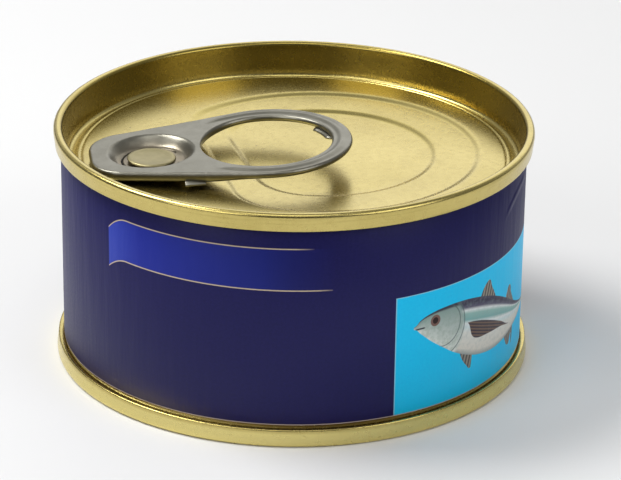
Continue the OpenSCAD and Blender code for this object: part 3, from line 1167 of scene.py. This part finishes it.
def make_paper():
    material, tree, shader = new_material("printed_label_paper")
    around, up = label_measures(tree)
    flat = put(tree, "ShaderNodeCombineXYZ", around, up, 0.0).outputs[0]
    tooth = noise(tree, flat, 2.6, 3.0, 0.6)
    squat = calc(tree, "MULTIPLY", up, 0.12)
    tall = put(tree, "ShaderNodeCombineXYZ", around, squat, 0.0).outputs[0]
    ripple = noise(tree, tall, 0.55, 3.0)
    spread = remap(tree, tooth, 0.3, 0.7, 0.0, 1.0)
    navy = blend(tree, spread, ink(18, 17, 75), ink(24, 22, 84))
    colour = print_banner(tree, navy, around, up)
    left, right, top = PANEL_BOX
    panel = both(tree, between(tree, around, left, right, 0.05), below(tree, up, top, 0.05))
    frame_line = both(
        tree, between(tree, around, left - 0.15, right + 0.15, 0.04),
        below(tree, up, top + 0.12, 0.04),
    )
    colour = blend(tree, frame_line, colour, ink(140, 198, 228))
    sky = blend(tree, spread, ink(8, 198, 252), ink(16, 205, 255))
    colour = blend(tree, panel, colour, sky)
    colour = print_fish(tree, colour, around, up)
    colour = blend(tree, below(tree, up, LABEL_LOW + 0.14, 0.05), colour, ink(196, 180, 178))
    tree.links.new(colour, shader.inputs["Base Color"])
    tree.links.new(remap(tree, tooth, 0.2, 0.8, 0.40, 0.52), shader.inputs["Roughness"])
    shader.inputs["Specular IOR Level"].default_value = 0.20
    shader.inputs["Coat Weight"].default_value = 0.04
    shader.inputs["Coat Roughness"].default_value = 0.30
    aside = calc(tree, "DIVIDE", calc(tree, "SUBTRACT", CREASE_MID, around), 10.0)
    sag = calc(tree, "POWER", aside, 2.0)
    crease_line = calc(tree, "SUBTRACT", CREASE_TOP, calc(tree, "MULTIPLY", sag, 3.6))
    off = calc(tree, "SUBTRACT", up, crease_line)
    ridge = below(tree, calc(tree, "ABSOLUTE", off), 0.45, 0.45)
    crease = both(tree, ridge, between(tree, around, 37.5, 46.0, 1.6))
    height = calc(tree, "ADD", ripple, calc(tree, "MULTIPLY", crease, 1.6))
    height = calc(tree, "ADD", height, calc(tree, "MULTIPLY", tooth, 0.05))
    add_bump(tree, shader, height, 0.5, 0.00022)
    return material


paper = make_paper()
print("finish made:", paper.name)

# %% Make the label and its lap
LAP_FROM, LAP_SWEEP = 82, 15


def make_label():
    bm = bmesh.new()
    outer, inner = LABEL_R - 0.02, WALL_R + 0.03
    section = [
        (inner, LABEL_LOW), (outer - 0.03, LABEL_LOW), (outer, LABEL_LOW + 0.03),
        (outer, (LABEL_LOW + LABEL_TOP) / 2), (outer, LABEL_TOP - 0.03),
        (outer - 0.03, LABEL_TOP), (inner, LABEL_TOP), (inner, LABEL_LOW),
    ]
    spin_section(bm, section, 256)
    return bm


def make_lap():
    """The glued lap at the back: a second thickness of paper over a few millimetres."""
    bm = bmesh.new()
    inner, outer = LABEL_R - 0.1, LABEL_R + 0.1
    corners = [(inner, LABEL_LOW), (outer, LABEL_LOW), (outer, LABEL_TOP), (inner, LABEL_TOP)]
    verts = [bm.verts.new((r, 0.0, z)) for r, z in corners]
    start = Matrix.Rotation(math.radians(LAP_FROM), 3, "Z")
    bmesh.ops.rotate(bm, verts=verts, cent=(0, 0, 0), matrix=start)
    end = bm.faces.new(verts)
    bmesh.ops.spin(
        bm, geom=[end] + list(end.edges) + verts, cent=(0, 0, 0), axis=(0, 0, 1),
        angle=math.radians(LAP_SWEEP), steps=16, use_merge=False,
    )
    return bm


finish_piece("paper_label", make_label(), paper, "label_paper", "label")
finish_piece("paper_label_lap", make_lap(), paper, "label_paper")

# %% [markdown]
# The studio is a pale flat floor under five soft square lamps. Metal shows what is around
# it, so the surroundings matter as much as the lamps: brighter behind the can, which the
# lid's flat panel mirrors, and dimmer on the camera's side, which darkens the inside of the
# far wall of the seam.

# %% Floor, lights and surroundings
LAMP_TARGET = Vector((0.0, 0.0, 0.02))
SOFTBOXES = (
    ("back_softbox", (0.14, 0.66, 0.40), 0.60, 0.80),
    ("key_softbox", (-0.36, 0.10, 0.55), 0.30, 3.1),
    ("left_fill", (-0.42, -0.46, 0.40), 0.40, 1.2),
    ("right_fill", (0.48, -0.38, 0.40), 0.40, 1.1),
    ("front_top", (-0.02, -0.26, 0.76), 0.35, 0.7),
)
BRIGHT_SIDE = math.radians(12)
GREYS = ((0.0, 0.03), (0.50, 0.09), (0.80, 0.24), (0.90, 0.52), (1.0, 0.60))
SKY_STRENGTH = 1.3


def grey(value):
    return (value, value, value, 1.0)


def make_floor():
    bm = bmesh.new()
    bmesh.ops.create_grid(bm, x_segments=8, y_segments=8, size=3.0)
    mesh = bpy.data.meshes.new("studio_floor")
    bm.to_mesh(mesh)
    bm.free()
    material, tree, shader = new_material("pale_floor")
    spread = noise(tree, put(tree, "ShaderNodeTexCoord").outputs["Object"], 6.0, 2.0)
    shade = blend(tree, spread, grey(0.80), grey(0.84))
    tree.links.new(shade, shader.inputs["Base Color"])
    shader.inputs["Roughness"].default_value = 0.9
    mesh.materials.append(material)
    floor = bpy.data.objects.new("studio_floor", mesh)
    bpy.context.scene.collection.objects.link(floor)


def add_softbox(name, at, size, watts):
    data = bpy.data.lights.new(name, "AREA")
    data.shape = "SQUARE"
    data.size = size
    data.energy = watts
    lamp = bpy.data.objects.new(name, data)
    aim = (LAMP_TARGET - Vector(at)).to_track_quat("-Z", "Y").to_matrix().to_4x4()
    lamp.matrix_world = Matrix.Translation(at) @ aim
    bpy.context.scene.collection.objects.link(lamp)


def make_world():
    world = bpy.data.worlds.new("studio_surroundings")
    world.use_nodes = True
    tree = world.node_tree
    way = put(tree, "ShaderNodeTexCoord").outputs["Generated"]
    parts = put(tree, "ShaderNodeSeparateXYZ", way).outputs
    aside = calc(tree, "MULTIPLY", parts[0], math.sin(BRIGHT_SIDE))
    behind = calc(tree, "MULTIPLY", parts[1], math.cos(BRIGHT_SIDE))
    facing = remap(tree, calc(tree, "ADD", aside, behind), -1.0, 1.0, 0.0, 1.0)
    colour = ramp(tree, facing, *[(place, grey(value)) for place, value in GREYS])
    colour = blend(tree, step_up(tree, parts[2], 0.60, 0.18), colour, grey(0.22))
    low = below(tree, parts[2], 0.16, 0.10)
    colour = blend(tree, calc(tree, "MULTIPLY", low, 0.8), colour, grey(0.10))
    tree.links.new(colour, tree.nodes["Background"].inputs[0])
    tree.nodes["Background"].inputs[1].default_value = SKY_STRENGTH
    bpy.context.scene.world = world


make_floor()
for name, at, size, watts in SOFTBOXES:
    add_softbox(name, at, size, watts)
make_world()
bpy.context.scene.view_settings.view_transform = "Standard"
